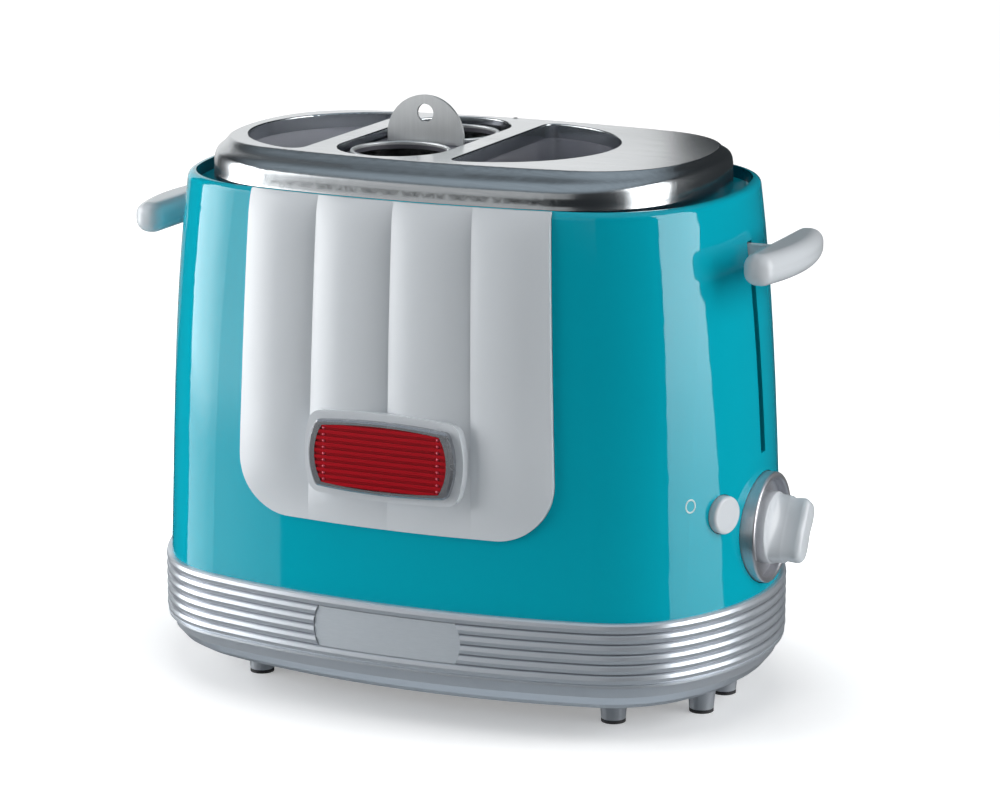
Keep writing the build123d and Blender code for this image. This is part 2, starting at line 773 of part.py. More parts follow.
# Chassis plate on the deck of the base, open under the bun wells and drained under the sausage well
with BuildPart() as chassis_plate:
    chassis_inset = shell_wall + chassis_gap
    with BuildSketch(Plane.XY.offset(deck_height)):
        oval(shell_foot_length / 2 - chassis_inset, shell_foot_depth / 2 - chassis_inset, shell_foot_shares)
        bun_outline(left_straight_x, -left_bun_depth, 0, Mode.SUBTRACT)
        bun_outline(right_straight_x, right_bun_depth, 0, Mode.SUBTRACT)
        with Locations((openings_x, 0)):
            with GridLocations(0, cage_pitch, 1, 2):
                Circle(drain_radius, mode=Mode.SUBTRACT)
    extrude(amount=chassis_thickness)
chassis_plate.part.label = "chassis_plate"
export_step(chassis_plate.part, "parts/chassis_plate.step")

# Wells: thin liners with heat windows in their straight sides and a slot for the lift beam
beam_top = slider_foot + beam_height
beam_slot_foot = slider_foot - lever_travel - beam_slot_gap
beam_slot_top = beam_top + beam_slot_gap


def cut_well(straight_sides):
    """Cut the beam's slot and the heat windows through a well's walls."""
    with Locations((0, 0, (beam_slot_foot + beam_slot_top) / 2)):
        Box(base_length, beam_slot_width, beam_slot_top - beam_slot_foot, mode=Mode.SUBTRACT)
    window_middle = chassis_top + window_foot + window_height / 2
    for side_x in straight_sides:
        for hand in (-1, 1):
            for place in (1, 2):
                with Locations((side_x, hand * place * window_pitch, window_middle)):
                    Box(2 * well_grow + 2 * well_wall, window_width, window_height, mode=Mode.SUBTRACT)


for name, straight_x, depth in (("bun_well_left", left_straight_x, -left_bun_depth),
                                ("bun_well_right", right_straight_x, right_bun_depth)):
    with BuildPart() as bun_well:
        with BuildSketch(Plane.XY.offset(chassis_top)):
            bun_outline(straight_x, depth, well_grow + well_wall)
            bun_outline(straight_x, depth, well_grow, Mode.SUBTRACT)
        extrude(amount=well_height)
        cut_well([straight_x])
    bun_well.part.label = name
    export_step(bun_well.part, f"parts/{name}.step")

with BuildPart() as sausage_well:
    with BuildSketch(Plane.XY.offset(chassis_top)):
        slot_outline(well_grow + well_wall)
        slot_outline(well_grow, Mode.SUBTRACT)
    extrude(amount=well_height)
    cut_well([openings_x - slot_width / 2, openings_x + slot_width / 2])
sausage_well.part.label = "sausage_well"
export_step(sausage_well.part, "parts/sausage_well.step")

# Heater boards stand in the two gaps between the wells, in front of and behind the lift beam
heater_places = [(left_straight_x + openings_x - slot_width / 2) / 2,
                 (right_straight_x + openings_x + slot_width / 2) / 2]
heater_middle = (heater_near + heater_far) / 2
heater_width = heater_far - heater_near
with BuildPart() as heater_boards:
    with Locations(*[(x, hand * heater_middle, chassis_top) for x in heater_places for hand in (-1, 1)]):
        Box(heater_board, heater_width, heater_top - chassis_top, align=stand)
heater_boards.part.label = "heater_boards"
export_step(heater_boards.part, "parts/heater_boards.step")

ribbon_pitch = (heater_top - chassis_top - 2 * ribbon_margin) / (ribbon_rows - 1)
ribbon_offset = (heater_board + ribbon_thickness) / 2
with BuildPart() as heater_ribbons:
    for row in range(ribbon_rows):
        height = chassis_top + ribbon_margin + row * ribbon_pitch
        with Locations(*[(x + face * ribbon_offset, hand * heater_middle, height)
                         for x in heater_places for hand in (-1, 1) for face in (-1, 1)]):
            Box(ribbon_thickness, heater_width - 2 * ribbon_edge, ribbon_height)
heater_ribbons.part.label = "heater_ribbons"
export_step(heater_ribbons.part, "parts/heater_ribbons.step")

# Sausage cages: two windowed tubes with drained floors
collar_under = collar_height - collar_thickness
window_middle = chassis_top + cage_window_foot + cage_window_height / 2
for name, hand in (("sausage_cage_front", -1), ("sausage_cage_back", 1)):
    cage_y = hand * cage_pitch / 2
    with BuildPart() as cage:
        with BuildSketch(Plane.XY.offset(chassis_top)):
            with Locations((openings_x, cage_y)):
                Circle(cage_radius)
        extrude(amount=collar_under - chassis_top)
        with BuildSketch(Plane.XY.offset(chassis_top + cage_floor)):
            with Locations((openings_x, cage_y)):
                Circle(cage_radius - cage_wall)
        extrude(amount=collar_height, mode=Mode.SUBTRACT)
        with Locations((openings_x, cage_y, chassis_top + cage_floor)):
            Hole(cage_drain_radius, depth=cage_floor + overrun)
        with Locations((openings_x, cage_y, window_middle)):
            with PolarLocations(cage_radius, cage_windows, start_angle=full_turn / cage_windows / 2):
                Box(4 * cage_wall, cage_window_width, cage_window_height, mode=Mode.SUBTRACT)
    cage.part.label = name
    export_step(cage.part, f"parts/{name}.step")

# Collar that joins the cages, with a tab to lift them by
with BuildPart() as basket_collar:
    with BuildSketch(Plane.XY.offset(collar_under)):
        with Locations((openings_x, 0)):
            SlotOverall(collar_length, collar_width, rotation=quarter_turn)
            with GridLocations(0, cage_pitch, 1, 2):
                Circle(cage_radius - cage_wall, mode=Mode.SUBTRACT)
    extrude(amount=collar_thickness)
    with BuildSketch(Plane.XY.offset(collar_under)):
        with Locations((openings_x, 0)):
            with GridLocations(0, cage_pitch, 1, 2):
                Circle(cage_radius - cage_wall + mouth_width)
                Circle(cage_radius - cage_wall, mode=Mode.SUBTRACT)
    extrude(amount=collar_thickness + mouth_rise)
    fillet(basket_collar.edges().group_by(Axis.Z)[-1], radius=mouth_round)
    with BuildSketch(Plane.XZ.offset(-tab_thickness / 2)):
        with Locations((openings_x, collar_under)):
            Rectangle(2 * tab_radius, tab_rise + collar_thickness, align=(Align.CENTER, Align.MIN))
        with Locations((openings_x, collar_height + tab_rise)):
            Circle(tab_radius)
        with Locations((openings_x, collar_under)):
            Rectangle(3 * tab_radius, 3 * tab_radius, align=(Align.CENTER, Align.MAX), mode=Mode.SUBTRACT)
        with Locations((openings_x, collar_height + tab_hole_rise)):
            Circle(tab_hole_radius, mode=Mode.SUBTRACT)
    extrude(amount=tab_thickness)
basket_collar.part.label = "basket_collar"
export_step(basket_collar.part, "parts/basket_collar.step")

# Chassis end plates, with a slot for the beam and a top flange that holds the guide rods
left_plate_x = left_straight_x - left_bun_depth - well_grow - well_wall - end_gap
right_plate_x = right_straight_x + right_bun_depth + well_grow + well_wall + end_gap
rod_places = [(hand * rod_x, y) for hand in (-1, 1) for y in (-rod_pitch / 2, rod_pitch / 2)]
for name, inner_x, hand in (("end_plate_left", left_plate_x, -1), ("end_plate_right", right_plate_x, 1)):
    flange_end = rod_x + end_flange_reach
    sheet_x = inner_x + hand * end_sheet / 2
    flange_length = flange_end - abs(inner_x)
    with BuildPart() as end_plate:
        with Locations((sheet_x, 0, chassis_top)):
            Box(end_sheet, end_width, end_flange_height + end_sheet - chassis_top, align=stand)
        with BuildSketch(Plane.XY.offset(end_flange_height)):
            with Locations((inner_x + hand * flange_length / 2, 0)):
                Rectangle(flange_length, end_width)
            oval(*shell_level(end_flange_height + end_sheet, shell_wall + slip)[1:],
                 shell_shares(end_flange_height), Mode.INTERSECT)
        extrude(amount=end_sheet)
        with Locations((sheet_x, 0, (beam_slot_foot + beam_slot_top) / 2)):
            Box(3 * end_sheet, beam_slot_width, beam_slot_top - beam_slot_foot, mode=Mode.SUBTRACT)
        with Locations(*[(x, y, end_flange_height + end_sheet) for x, y in rod_places if x * hand > 0]):
            Hole(rod_radius + running_gap, depth=2 * end_sheet)
    end_plate.part.label = name
    export_step(end_plate.part, f"parts/{name}.step")

# Guide rods
with BuildPart() as guide_rods:
    with Locations(*[(x, y, chassis_top) for x, y in rod_places]):
        Cylinder(rod_radius, rod_top - chassis_top, align=stand)
guide_rods.part.label = "guide_rods"
export_step(guide_rods.part, "parts/guide_rods.step")

# Sliders: two bushings on a web, with an ear for the spring, and at the control end for the armature too
slider_height = slider_top - slider_foot
for name, hand, reach in (("slider_left", -1, ear_reach), ("slider_right", 1, armature_far)):
    with BuildPart() as slider:
        with Locations((hand * rod_x, 0, slider_foot)):
            Box(slider_web, rod_pitch, slider_height, align=stand)
        with Locations(*[(x, y, slider_foot) for x, y in rod_places if x * hand > 0]):
            Cylinder(bushing_radius, slider_height, align=stand)
        with Locations((hand * rod_x, rod_pitch / 2, slider_foot)):
            Box(ear_depth, reach - rod_pitch / 2, ear_height, align=(Align.CENTER, Align.MIN, Align.MIN))
        with Locations(*[(x, y, slider_top) for x, y in rod_places if x * hand > 0]):
            Hole(rod_radius + running_gap, depth=slider_height + overrun)
    slider.part.label = name
    export_step(slider.part, f"parts/{name}.step")

# Lift beam from slider to slider
beam_reach = rod_x - slider_web / 2
with BuildPart() as lift_beam:
    with Locations((0, 0, slider_foot)):
        Box(2 * beam_reach, beam_width, beam_height, align=stand)
lift_beam.part.label = "lift_beam"
export_step(lift_beam.part, "parts/lift_beam.step")

# Racks that carry the buns, slotted so that crumbs fall through
for name, straight_x, depth in (("rack_left", left_straight_x, -left_bun_depth),
                                ("rack_right", right_straight_x, right_bun_depth)):
    hand = 1 if depth > 0 else -1
    with BuildPart() as rack:
        with BuildSketch(Plane.XY.offset(beam_top)):
            bun_outline(straight_x, depth, -rack_gap)
            slot_reach = abs(depth) - 2 * rack_gap - 2 * rack_edge
            with Locations((straight_x + hand * (rack_gap + rack_edge + slot_reach / 2), 0)):
                for side in (-1, 1):
                    for place in range(rack_slots):
                        with Locations((0, side * (place + 1 / 2) * rack_slot_pitch)):
                            SlotOverall(slot_reach * (1 - place / rack_slots / 2), rack_slot_width,
                                        mode=Mode.SUBTRACT)
        extrude(amount=rack_thickness)
    rack.part.label = name
    export_step(rack.part, f"parts/{name}.step")

# Levers: a crosswise bar with a bowed front outside the shell, on a flat stem through the slot
lever_x = shell_level(lever_height - lever_travel - lever_thickness / 2)[1] + lever_gap
stem_start = rod_x + slider_web / 2
for name, hand in (("lever_left", -1), ("lever_right", 1)):
    with BuildPart() as lever:
        with BuildSketch(Plane.XY.offset(lever_height - lever_thickness / 2)) as lever_plan:
            near = (hand * lever_x, -lever_span / 2)
            far = (hand * lever_x, lever_span / 2)
            near_front = (hand * (lever_x + lever_depth - lever_bow), -lever_span / 2)
            far_front = (hand * (lever_x + lever_depth - lever_bow), lever_span / 2)
            with BuildLine():
                Polyline(near_front, near, far, far_front)
                ThreePointArc(far_front, (hand * (lever_x + lever_depth), 0), near_front)
            make_face()
            fillet(lever_plan.vertices(), radius=lever_corner)
        extrude(amount=lever_thickness)
        fillet(lever.edges().group_by(Axis.Z)[0] + lever.edges().group_by(Axis.Z)[-1], radius=lever_edge)
        with Locations((hand * (stem_start + lever_x + lever_corner) / 2, 0, lever_height)):
            Box(lever_x + lever_corner - stem_start, stem_width, stem_thickness)
    lever.part.label = name
    export_step(lever.part, f"parts/{name}.step")

# Return springs between the ears and the end plates' flanges
with BuildPart() as return_springs:
    spring_foot = slider_foot + ear_height
    with BuildSketch(Plane.XY.offset(spring_foot)):
        with Locations((-rod_x, spring_y), (rod_x, spring_y)):
            Circle(spring_radius)
            Circle(spring_radius - spring_wire, mode=Mode.SUBTRACT)
    extrude(amount=end_flange_height - spring_foot)
return_springs.part.label = "return_springs"
export_step(return_springs.part, "parts/return_springs.step")

# Armature under the ear at the control end, and the electromagnet that holds it down
armature_middle = (armature_near + armature_far) / 2
with BuildPart() as armature:
    with Locations((rod_x, armature_middle, slider_foot)):
        Box(armature_depth, armature_far - armature_near, armature_thickness, align=down)
armature.part.label = "armature"
export_step(armature.part, "parts/armature.step")

magnet_top = slider_foot - armature_thickness - lever_travel - magnet_gap
with BuildPart() as electromagnet:
    with Locations((rod_x, armature_middle, chassis_top)):
        Box(armature_depth, armature_far - armature_near, magnet_base, align=stand)
        Cylinder(magnet_coil_radius, magnet_top - chassis_top, align=stand)
electromagnet.part.label = "electromagnet"
export_step(electromagnet.part, "parts/electromagnet.step")

# Knob ring: a metal cup let into the shell, with a shallow dish and a hole for the shaft
dish_back = dish_depth + dish_thickness
with BuildPart() as knob_ring:
    with BuildSketch(knob_plane):
        Circle(ring_radius)
    extrude(amount=-ring_depth)
    with BuildSketch(knob_plane):
        Circle(ring_inner_radius)
    extrude(amount=-dish_depth, mode=Mode.SUBTRACT)
    with BuildSketch(knob_plane.offset(-dish_back)):
        Circle(ring_inner_radius)
    extrude(amount=dish_back - ring_depth, mode=Mode.SUBTRACT)
    fillet(knob_ring.faces().sort_by(Axis.X)[-1].edges(), radius=ring_round)
    with BuildSketch(knob_plane):
        Circle(shaft_radius + running_gap)
    extrude(amount=-dish_back - overrun, mode=Mode.SUBTRACT)
knob_ring.part.label = "knob_ring"
export_step(knob_ring.part, "parts/knob_ring.step")

# Timer potentiometer behind the dish
with BuildPart() as timer_pot:
    with BuildSketch(knob_plane.offset(-dish_back)):
        Circle(pot_radius)
        Circle(shaft_radius + running_gap, mode=Mode.SUBTRACT)
    extrude(amount=-shaft_engagement)
    with BuildSketch(knob_plane.offset(-dish_back - shaft_engagement)):
        Circle(pot_radius)
    extrude(amount=shaft_engagement - pot_length)
timer_pot.part.label = "timer_pot"
export_step(timer_pot.part, "parts/timer_pot.step")

def grip_section(rise, half_length, half_width, waist, crown):
    """One section of the knob's grip: waisted sides, crowned ends and rounded corners."""
    with BuildSketch(knob_plane.offset(rise).rotated((0, 0, grip_turn))) as section:
        with BuildLine() as outline:
            ThreePointArc((half_width, -half_length), (half_width - waist, 0), (half_width, half_length))
            ThreePointArc((half_width, half_length), (0, half_length + crown), (-half_width, half_length))
            ThreePointArc((-half_width, half_length), (waist - half_width, 0), (-half_width, -half_length))
            ThreePointArc((-half_width, -half_length), (0, -half_length - crown), (half_width, -half_length))
        make_face(outline.edges())
        fillet(section.vertices(), radius=grip_corner)
    return section.sketch


# Knob: a waisted grip on a round disc, with the shaft behind
grip_plane = knob_plane.offset(-dish_depth + slip)
grip_root = grip_section(disc_rise, root_half_length, root_half_width, root_waist, root_crown)
grip_end = grip_section(grip_height, end_half_length, end_half_width, end_waist, end_crown)
with BuildPart() as knob:
    loft([grip_root, grip_end])
    fillet(knob.faces().sort_by(Axis.X)[-1].edges(), radius=grip_edge)
    with BuildSketch(grip_plane):
        Circle(disc_radius)
    extrude(amount=dish_depth - slip + disc_rise)
    with BuildSketch(grip_plane):
        Circle(shaft_radius)
    extrude(amount=-dish_thickness - shaft_engagement)
knob.part.label = "knob"
export_step(knob.part, "parts/knob.step")

# Stop button with its collar behind the wall, spring, switch and control board
collar_back = shell_wall + button_collar_gap + button_collar_height
stem_end = collar_back + button_stem_length
switch_front = stem_end + button_travel + switch_gap
board_front = switch_front + switch_height
with BuildPart() as stop_button:
    with BuildSketch(button_plane.offset(button_proud)):
        Circle(button_radius)
    extrude(amount=-button_proud - collar_back)
    fillet(stop_button.faces().sort_by(Axis.X)[-1].edges(), radius=button_round)
    with BuildSketch(button_plane.offset(-collar_back)):
        Circle(button_collar_radius)
    extrude(amount=button_collar_height)
    with BuildSketch(button_plane.offset(-collar_back)):
        Circle(button_stem_radius)
    extrude(amount=-button_stem_length)
stop_button.part.label = "stop_button"
export_step(stop_button.part, "parts/stop_button.step")

with BuildPart() as button_spring:
    with BuildSketch(button_plane.offset(-board_front)):
        Circle(button_spring_radius)
        Circle(button_spring_radius - button_spring_wire, mode=Mode.SUBTRACT)
    extrude(amount=board_front - collar_back)
button_spring.part.label = "button_spring"
export_step(button_spring.part, "parts/button_spring.step")

with BuildPart() as stop_switch:
    with BuildSketch(button_plane.offset(-board_front)):
        Rectangle(switch_side, switch_side)
    extrude(amount=switch_height)
stop_switch.part.label = "stop_switch"
export_step(stop_switch.part, "parts/stop_switch.step")

with BuildPart() as control_board:
    with BuildSketch(button_plane.offset(-board_front)):
        with Locations(((board_right - board_left) / 2, (board_top + chassis_top) / 2 - button_height)):
            Rectangle(board_left + board_right, board_top - chassis_top)
    extrude(amount=-board_thickness)
control_board.part.label = "control_board"
export_step(control_board.part, "parts/control_board.step")

# Mains entry: a gland through the bottom plate and a terminal block beside it
with BuildPart() as cord_gland:
    with Locations((gland_x, 0, flange_top)):
        Cylinder(gland_flange_radius, gland_flange_height, align=down)
        Cylinder(gland_radius, bottom_thickness, align=stand)
    with Locations((gland_x, 0, bottom_top)):
        Cylinder(gland_flange_radius, gland_flange_height, align=stand)
        Hole(gland_bore_radius)
cord_gland.part.label = "cord_gland"
export_step(cord_gland.part, "parts/cord_gland.step")

with BuildPart() as terminal_block:
    with Locations((terminal_x, terminal_y, bottom_top)):
        Box(terminal_length, terminal_width, terminal_height, align=stand)
    with Locations((terminal_x, terminal_y, bottom_top + terminal_height)):
        with GridLocations(terminal_length / 2, 0, 2, 1):
            Hole(terminal_hole_radius, depth=terminal_height / 2)
terminal_block.part.label = "terminal_block"
export_step(terminal_block.part, "parts/terminal_block.step")
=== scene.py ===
"""Looks of the hot dog maker: materials, small details, floor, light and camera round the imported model."""
import math

import bpy
from mathutils import Matrix, Vector


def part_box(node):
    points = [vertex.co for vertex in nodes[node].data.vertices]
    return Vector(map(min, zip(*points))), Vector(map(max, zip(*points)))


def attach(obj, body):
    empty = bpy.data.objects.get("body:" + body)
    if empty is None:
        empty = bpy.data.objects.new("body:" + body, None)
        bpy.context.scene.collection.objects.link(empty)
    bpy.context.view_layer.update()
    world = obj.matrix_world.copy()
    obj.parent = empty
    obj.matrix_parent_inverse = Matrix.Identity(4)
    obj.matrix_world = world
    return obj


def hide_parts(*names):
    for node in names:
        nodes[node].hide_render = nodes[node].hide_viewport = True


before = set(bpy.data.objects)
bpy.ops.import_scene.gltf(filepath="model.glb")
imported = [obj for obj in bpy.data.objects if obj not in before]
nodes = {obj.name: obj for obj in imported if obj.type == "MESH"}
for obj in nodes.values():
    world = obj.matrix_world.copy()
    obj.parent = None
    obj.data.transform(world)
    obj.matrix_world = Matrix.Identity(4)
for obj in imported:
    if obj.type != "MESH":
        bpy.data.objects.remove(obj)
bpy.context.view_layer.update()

scene = bpy.context.scene
full_turn = 2 * math.pi
quarter_turn = math.pi / 2


# Node trees

class Graph:
    """Short words for building a node tree."""

    def __init__(self, tree):
        self.tree = tree

    def add(self, kind, **settings):
        """Add a shader node with its settings."""
        node = self.tree.nodes.new("ShaderNode" + kind)
        for key, value in settings.items():
            setattr(node, key, value)
        return node

    def feed(self, node, values):
        """Give a node's inputs, by name or number, constants or other nodes' outputs."""
        for key, value in values.items():
            if isinstance(value, bpy.types.NodeSocket):
                self.tree.links.new(value, node.inputs[key])
            else:
                node.inputs[key].default_value = value
        return node

    def ramp(self, source, low, high, start=0.3, end=0.7, shape="LINEAR"):
        """Turn a source's run from start to end into a run from low to high, held at both ends.

        The usual start and end take in most of what a noise gives.
        """
        node = self.add("MapRange", interpolation_type=shape)
        self.feed(node, {"Value": source, "From Min": start, "From Max": end, "To Min": low, "To Max": high})
        return node.outputs["Result"]

    def work(self, operation, *values):
        """The result of a sum on plain values."""
        node = self.feed(self.add("Math", operation=operation), dict(enumerate(values)))
        return node.outputs["Value"]

    def measure(self, operation, *vectors):
        """The plain value that a sum on vectors gives."""
        node = self.feed(self.add("VectorMath", operation=operation), dict(enumerate(vectors)))
        return node.outputs["Value"]

    def axis(self, vector, letter):
        """One coordinate of a vector."""
        return self.feed(self.add("SeparateXYZ"), {"Vector": vector}).outputs[letter]

    def stretch(self, vector, scale):
        """A vector scaled along each axis."""
        return self.feed(self.add("Mapping"), {"Vector": vector, "Scale": scale}).outputs["Vector"]


class Mat(Graph):
    """A Principled material whose colour, gloss and relief vary with noise in the object's own metres."""

    def __init__(self, name, color, roughness, metallic=0.0, anisotropic=0.0):
        self.material = bpy.data.materials.new(name)
        self.material.use_nodes = True
        super().__init__(self.material.node_tree)
        self.shader = self.tree.nodes["Principled BSDF"]
        coords = self.add("TexCoord")
        self.place = coords.outputs["Object"]
        self.normal = coords.outputs["Normal"]
        self.color = (*color, 1)
        self.feed(self.shader, {"Base Color": self.color, "Roughness": roughness, "Metallic": metallic,
                                "Anisotropic": anisotropic})

    def noise(self, scale, stretch=(1, 1, 1), detail=3.0, rough=0.55):
        """Noise between 0 and 1, with scale cells to the metre."""
        vector = self.stretch(self.place, stretch)
        texture = self.feed(self.add("TexNoise"), {"Vector": vector, "Scale": scale, "Detail": detail,
                                                   "Roughness": rough})
        return texture.outputs["Fac"]

    def cover(self, factor, color):
        """Lay another colour over the material's own where the factor is 1."""
        mix = self.add("Mix", data_type="RGBA")
        self.feed(mix, {"A": self.color, "B": (*color, 1), "Factor": factor})
        self.color = mix.outputs["Result"]
        self.feed(self.shader, {"Base Color": self.color})
        return self

    def mottle(self, source, color, start=0.3, end=0.7):
        """Let the colour drift to another one as the source goes from start to end."""
        return self.cover(self.ramp(source, 0, 1, start, end), color)

    def wear(self, source, low, high):
        """Let the roughness drift from low to high with the source."""
        self.feed(self.shader, {"Roughness": self.ramp(source, low, high)})
        return self

    def bump(self, source, distance, strength):
        """Raise the surface with the source."""
        node = self.feed(self.add("Bump"), {"Height": source, "Distance": distance, "Strength": strength})
        self.feed(self.shader, {"Normal": node.outputs["Normal"]})
        return self


# Kinds of material

def gloss(name, color, shade, roughness):
    """Moulded glossy plastic: a faint drift of shade, fine dust in the gloss and a slight orange peel."""
    mat = Mat(name, color, roughness)
    mat.mottle(mat.noise(9.0, detail=2.0), shade)
    mat.wear(mat.noise(420.0, detail=4.0), low=roughness * 0.95, high=roughness * 1.08)
    return mat.bump(mat.noise(60.0, detail=1.0), distance=0.00002, strength=0.12)


def brushed(name, color, shade, roughness, stretch, grain=900.0, metallic=1.0):
    """Brushed metal: fine streaks along one direction in shade, gloss and relief."""
    mat = Mat(name, color, roughness, metallic, anisotropic=0.45)
    streak = mat.noise(grain, stretch, detail=5.0, rough=0.7)
    mat.mottle(streak, shade, start=0.25, end=0.75)
    mat.wear(streak, low=roughness * 0.94, high=roughness * 1.07)
    return mat.bump(streak, distance=0.00001, strength=0.06)


def lining(name, metallic):
    """Smooth bright sheet metal with slow drifts of shade and gloss."""
    mat = Mat(name, (0.78, 0.79, 0.84), roughness=0.24, metallic=metallic)
    mat.mottle(mat.noise(25.0, stretch=(1, 1, 0.3)), (0.7, 0.71, 0.76))
    mat.wear(mat.noise(260.0, detail=4.0), low=0.21, high=0.27)
    return mat.bump(mat.noise(60.0), distance=0.00003, strength=0.1)


def plain(name, color, shade, roughness, drift, grain, relief, strength=0.5, metallic=0.0, detail=3.0):
    """An even material: patches of shade, drift to the metre, and a fine grain in its relief."""
    mat = Mat(name, color, roughness, metallic)
    mat.mottle(mat.noise(drift, detail=detail), shade)
    return mat.bump(mat.noise(grain), relief, strength)


# Materials with a recipe of their own

def shell_turquoise():
    """Turquoise gloss, with painted shade: dim on faces that look inward, and black in the shell behind the
    badge.
    """
    inward_shade_color = (0.0004, 0.06, 0.09)
    behind_badge_shade = (0.02, 0.02, 0.02)
    inward_start = -0.01
    window_middle = (0, -0.1, 0.111)
    window_reach = (0.045, 0.06, 0.026)
    mat = gloss("turquoise", (0.0006, 0.36, 0.47), (0.0008, 0.38, 0.49), roughness=0.045)
    outward = mat.measure("DOT_PRODUCT", mat.normal, mat.place)
    # Painted shade: faces that look inward, into the shell, turn dark.
    mat.cover(mat.ramp(outward, 1, 0, inward_start, 0), inward_shade_color)
    # Painted shade: the shell in the recess behind the badge turns black.
    within = [mat.work("COMPARE", mat.axis(mat.place, letter), middle, reach)
              for letter, middle, reach in zip("XYZ", window_middle, window_reach)]
    return mat.cover(mat.work("MULTIPLY", mat.work("MULTIPLY", within[0], within[1]), within[2]), behind_badge_shade)


def badge_red():
    """Red gloss with painted shade: dark in the grooves between the ribs, where the surface looks up or down.
    """
    groove_shade_color = (0.10, 0.001, 0.003)
    mat = gloss("red", (0.42, 0.004, 0.012), (0.34, 0.003, 0.009), roughness=0.14)
    # Painted shade in the grooves, picked out by faces that look up or down.
    steepness = mat.work("ABSOLUTE", mat.axis(mat.normal, "Z"))
    return mat.cover(mat.ramp(steepness, 0, 1, start=0.2, end=0.6), groove_shade_color)


def base_silver():
    """Silver paint with a fine flake, with painted shade darker in the grooves between the base's beads."""
    bead_foot = 0.026
    bead_top = 0.0508
    beads = 6
    groove_shade_color = (0.30, 0.32, 0.36)
    mat = Mat("silver", (0.62, 0.66, 0.71), roughness=0.3, metallic=0.6)
    mat.mottle(mat.noise(2600.0, detail=2.0), (0.6, 0.64, 0.69))
    mat.wear(mat.noise(1200.0), low=0.28, high=0.33)
    mat.bump(mat.noise(900.0, detail=2.0), distance=0.00001, strength=0.08)
    # Painted shade: a dark band in each groove between the beads, found by height.
    height = mat.axis(mat.place, "Z")
    beads_up = mat.ramp(height, 0, beads, bead_foot, bead_top)
    from_groove = mat.work("PINGPONG", beads_up, 0.5)
    groove = mat.ramp(from_groove, 1, 0, start=0.02, end=0.16)
    reach = (bead_top - bead_foot) / 2 * (1 - 1 / beads)
    between_beads = mat.work("COMPARE", height, (bead_foot + bead_top) / 2, reach)
    return mat.cover(mat.work("MULTIPLY", groove, between_beads), groove_shade_color)


def trim_silver():
    """Flat silver paint of the bare plate, with faint streaks along it."""
    mat = Mat("plate", (0.50, 0.54, 0.58), roughness=0.36, metallic=0.1)
    mat.mottle(mat.noise(2200.0, stretch=(0.1, 1, 1), detail=2.0), (0.47, 0.51, 0.55))
    mat.wear(mat.noise(300.0, detail=2.0), low=0.33, high=0.39)
    return mat.bump(mat.noise(900.0, detail=2.0), distance=0.00001, strength=0.08)


def collar_satin():
    """Satin steel of the lifting tab, dark on the collar under it."""
    collar_color = (0.22, 0.22, 0.25)
    collar_top = 0.2209
    tab_foot = 0.2213
    mat = brushed("satin", (0.74, 0.76, 0.77), (0.68, 0.7, 0.71), roughness=0.45, stretch=(1, 1, 0.05))
    return mat.cover(mat.ramp(mat.axis(mat.place, "Z"), 1, 0, collar_top, tab_foot), collar_color)


def cage_chrome():
    """Polished tube, with a little wear in the polish."""
    mat = Mat("chrome", (0.66, 0.67, 0.68), roughness=0.1, metallic=1.0)
    mat.wear(mat.noise(300.0, detail=4.0), low=0.07, high=0.16)
    return mat.bump(mat.noise(120.0), distance=0.00001, strength=0.1)


def badge_metal():
    """Grey metal of the badge's frame."""
    mat = Mat("frame_metal", (0.46, 0.47, 0.50), roughness=0.26, metallic=0.85)
    mat.mottle(mat.noise(70.0), (0.4, 0.41, 0.44))
    mat.wear(mat.noise(120.0, detail=1.0), low=0.25, high=0.28)
    return mat.bump(mat.noise(120.0, detail=1.0), distance=0.00001, strength=0.05)


def circuit_board():
    """Green lacquered board with the shade of its tracks."""
    mat = Mat("board", (0.03, 0.17, 0.06), roughness=0.35)
    mat.mottle(mat.noise(150.0, stretch=(1, 0.2, 1)), (0.05, 0.22, 0.09), start=0.45, end=0.55)
    return mat.bump(mat.noise(900.0), distance=0.00003, strength=0.5)


# All materials and the nodes that wear them

turquoise = shell_turquoise()
white = gloss("white", (0.63, 0.66, 0.69), (0.66, 0.69, 0.72), roughness=0.22)
red = badge_red()
# Lighter pink of the badge's domes: a painted highlight for the glints on the insert
glint_pink = gloss("glint_pink", (0.80, 0.10, 0.15), (0.72, 0.08, 0.12), roughness=0.2)
silver = base_silver()
plate = trim_silver()
steel = brushed("steel", (0.60, 0.63, 0.65), (0.5, 0.53, 0.55), roughness=0.2, stretch=(0.04, 1, 1))
sheet = brushed("sheet", (0.42, 0.42, 0.42), (0.34, 0.34, 0.34), roughness=0.4, stretch=(1, 1, 0.1))
satin = collar_satin()
pewter = brushed("pewter", (0.66, 0.66, 0.69), (0.56, 0.56, 0.59), roughness=0.3, stretch=(1, 0.2, 0.2),
                 metallic=0.8)
copper = brushed("copper", (0.55, 0.24, 0.11), (0.4, 0.16, 0.07), roughness=0.3, stretch=(0.02, 0.02, 1),
                 grain=1500.0)
liner = lining("liner", metallic=0.66)
